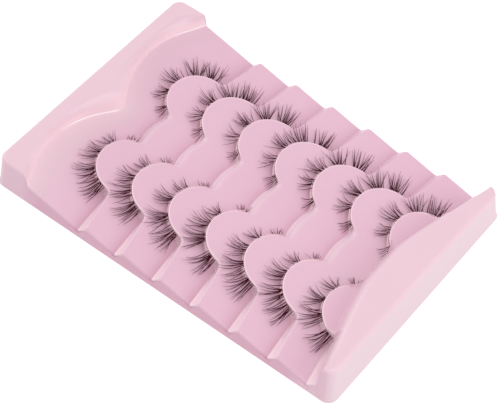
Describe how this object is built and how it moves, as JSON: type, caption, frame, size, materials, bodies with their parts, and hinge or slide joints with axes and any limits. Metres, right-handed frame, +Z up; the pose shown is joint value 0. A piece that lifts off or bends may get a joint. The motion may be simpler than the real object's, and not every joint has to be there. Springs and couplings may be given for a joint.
{
  "type": "strip lash clusters on a tray",
  "caption": "False strip lashes with spiky hair clusters on clear bands, stuck round the lobed steps of a pink vacuum-formed display tray that is open underneath.",
  "frame": {"origin": "middle of the tray's foot rim, on the surface that it stands on", "axes": "+X from the header to the end bar, +Y from the near column of strips to the far one, +Z up"},
  "size_m": [0.1606, 0.1114, 0.014],
  "materials": {
    "tray_sheet": "satin pink vacuum-formed PET sheet",
    "clear_band": "clear flexible band",
    "lash_hair": "dark brown PBT fibre"
  },
  "bodies": {
    "root": {"tray": "tray_sheet", "lash_band_near_1": "clear_band", "lash_band_near_2": "clear_band", "lash_band_near_3": "clear_band", "lash_band_near_4": "clear_band", "lash_band_near_5": "clear_band", "lash_band_near_6": "clear_band", "lash_band_near_7": "clear_band", "lash_band_far_1": "clear_band", "lash_band_far_2": "clear_band", "lash_band_far_3": "clear_band", "lash_band_far_4": "clear_band", "lash_band_far_5": "clear_band", "lash_band_far_6": "clear_band", "lash_band_far_7": "clear_band", "lash_fringe_near_1": "lash_hair", "lash_fringe_near_2": "lash_hair", "lash_fringe_near_3": "lash_hair", "lash_fringe_near_4": "lash_hair", "lash_fringe_near_5": "lash_hair", "lash_fringe_near_6": "lash_hair", "lash_fringe_near_7": "lash_hair", "lash_fringe_far_1": "lash_hair", "lash_fringe_far_2": "lash_hair", "lash_fringe_far_3": "lash_hair", "lash_fringe_far_4": "lash_hair", "lash_fringe_far_5": "lash_hair", "lash_fringe_far_6": "lash_hair", "lash_fringe_far_7": "lash_hair"}
  },
  "joints": []
}
